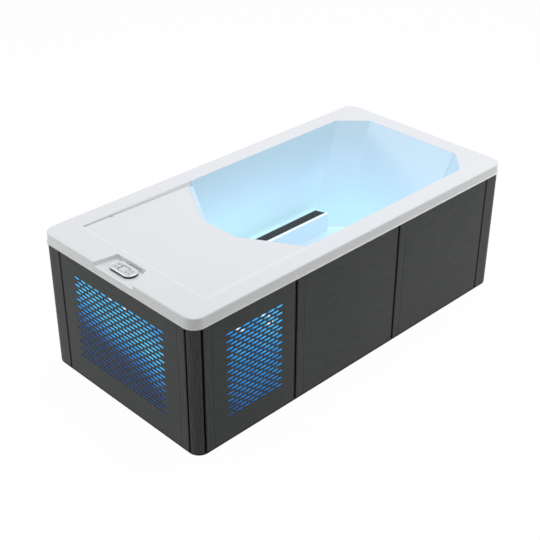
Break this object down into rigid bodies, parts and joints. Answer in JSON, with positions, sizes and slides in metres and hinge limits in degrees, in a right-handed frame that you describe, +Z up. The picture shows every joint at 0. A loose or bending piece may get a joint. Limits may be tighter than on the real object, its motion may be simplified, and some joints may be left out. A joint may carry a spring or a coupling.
{
  "type": "cold plunge tub",
  "caption": "Rectangular cold plunge tub with a faceted acrylic basin, a lift-off deck over its built-in chiller, slotted vents with inner lights and a keypad in the rim.",
  "frame": {"origin": "middle of the footprint, on the floor", "axes": "+X towards the head end of the basin, -X towards the equipment end with the keypad; +Y towards the rear long side with the water channel's ledge; +Z up"},
  "size_m": [2, 1, 0.677],
  "materials": {
    "white_acrylic": "glossy",
    "charcoal_cladding": "matte, fine brushed grain",
    "black_plastic": "matte",
    "keypad_plate": "satin",
    "keypad_keys": "matte",
    "screen_glass": "glossy",
    "circuit_board": "satin",
    "frame_steel": "powder coated",
    "support_timber": "planed",
    "foam_board": "matte",
    "lit_screen": "lit from behind",
    "light_strip": "lit",
    "grey_grille": "matte",
    "white_fittings": "glossy",
    "bright_steel": "brushed",
    "plug_rubber": "matte",
    "galvanised_sheet": "galvanised",
    "motor_paint": "satin",
    "pump_paint": "satin",
    "coil_fins": "fine fins",
    "grey_pvc": "satin",
    "impeller_plastic": "satin",
    "copper": "drawn tube",
    "handle_red": "satin"
  },
  "bodies": {
    "tub": {"acrylic_shell": "white_acrylic", "end_vent_panel": "charcoal_cladding", "front_vent_panel": "charcoal_cladding", "front_mid_panel": "charcoal_cladding", "front_head_panel": "charcoal_cladding", "head_end_panel": "charcoal_cladding", "rear_vent_panel": "charcoal_cladding", "rear_mid_panel": "charcoal_cladding", "rear_head_panel": "charcoal_cladding", "post_front_bay": "charcoal_cladding", "post_front_head": "charcoal_cladding", "post_rear_bay": "charcoal_cladding", "post_rear_head": "charcoal_cladding", "base_pan": "black_plastic", "panel_battens": "black_plastic", "fan_shroud": "black_plastic", "power_inlet": "black_plastic", "pump_volute": "black_plastic", "keypad_gasket": "black_plastic", "keypad_body": "keypad_plate", "keypad_screen": "screen_glass", "keypad_board": "circuit_board", "base_frame": "frame_steel", "frame_uprights": "frame_steel", "top_frame": "frame_steel", "basin_supports": "support_timber", "insulation_boards": "foam_board", "vent_screens": "lit_screen", "led_strips": "light_strip", "basin_light": "light_strip", "intake_grille": "grey_grille", "return_jets": "white_fittings", "drain_valve": "white_fittings", "filter_cartridge": "white_fittings", "drain_fitting": "bright_steel", "equipment_tray": "galvanised_sheet", "control_box": "galvanised_sheet", "fan_motor": "motor_paint", "compressor": "motor_paint", "pump_motor": "pump_paint", "condenser_coil": "coil_fins", "heat_exchanger": "grey_pvc", "filter_housing": "grey_pvc", "water_pipes": "grey_pvc", "refrigerant_pipes": "copper"},
    "deck": {"deck_cover": "white_acrylic"},
    "fan": {"fan_rotor": "black_plastic"},
    "impeller": {"pump_impeller": "impeller_plastic"},
    "drain_lever": {"valve_handle": "handle_red"},
    "filter_cap": {"filter_lid": "black_plastic"},
    "plug": {"drain_plug": "plug_rubber"},
    "key_1": {"button_1": "keypad_keys"},
    "key_2": {"button_2": "keypad_keys"},
    "key_3": {"button_3": "keypad_keys"},
    "key_4": {"button_4": "keypad_keys"},
    "key_5": {"button_5": "keypad_keys"},
    "key_6": {"button_6": "keypad_keys"},
    "key_7": {"button_7": "keypad_keys"},
    "key_8": {"button_8": "keypad_keys"}
  },
  "joints": [
    {"name": "deck_lift", "type": "slide", "parent": "tub", "child": "deck", "axis": [0, 0, 1], "range_m": [0, 0.3]},
    {"name": "plug_lift", "type": "slide", "parent": "tub", "child": "plug", "axis": [0, 0, 1], "range_m": [0, 0.06]},
    {"name": "fan_spin", "type": "hinge", "parent": "tub", "child": "fan", "pos_m": [-0.89, -0.013, 0.313], "axis": [1, 0, 0], "continuous": true},
    {"name": "impeller_spin", "type": "hinge", "parent": "tub", "child": "impeller", "pos_m": [-0.513, -0.3, 0.135], "axis": [1, 0, 0], "continuous": true},
    {"name": "lever_turn", "type": "hinge", "parent": "tub", "child": "drain_lever", "pos_m": [-0.64, 0.394, 0.11], "axis": [0, 0, 1], "range_deg": [0, 90]},
    {"name": "filter_cap_turn", "type": "hinge", "parent": "tub", "child": "filter_cap", "pos_m": [-0.543, -0.092, 0.49], "axis": [0, 0, 1], "range_deg": [0, 45]},
    {"name": "key_1_press", "type": "slide", "parent": "tub", "child": "key_1", "axis": [0, 0, -1], "range_m": [0, 0.0008], "stiffness_N_per_m": 800, "springref_m": -0.001},
    {"name": "key_2_press", "type": "slide", "parent": "tub", "child": "key_2", "axis": [0, 0, -1], "range_m": [0, 0.0008], "stiffness_N_per_m": 800, "springref_m": -0.001},
    {"name": "key_3_press", "type": "slide", "parent": "tub", "child": "key_3", "axis": [0, 0, -1], "range_m": [0, 0.0008], "stiffness_N_per_m": 800, "springref_m": -0.001},
    {"name": "key_4_press", "type": "slide", "parent": "tub", "child": "key_4", "axis": [0, 0, -1], "range_m": [0, 0.0008], "stiffness_N_per_m": 800, "springref_m": -0.001},
    {"name": "key_5_press", "type": "slide", "parent": "tub", "child": "key_5", "axis": [0, 0, -1], "range_m": [0, 0.0008], "stiffness_N_per_m": 800, "springref_m": -0.001},
    {"name": "key_6_press", "type": "slide", "parent": "tub", "child": "key_6", "axis": [0, 0, -1], "range_m": [0, 0.0008], "stiffness_N_per_m": 800, "springref_m": -0.001},
    {"name": "key_7_press", "type": "slide", "parent": "tub", "child": "key_7", "axis": [0, 0, -1], "range_m": [0, 0.0008], "stiffness_N_per_m": 800, "springref_m": -0.001},
    {"name": "key_8_press", "type": "slide", "parent": "tub", "child": "key_8", "axis": [0, 0, -1], "range_m": [0, 0.0008], "stiffness_N_per_m": 800, "springref_m": -0.001}
  ]
}
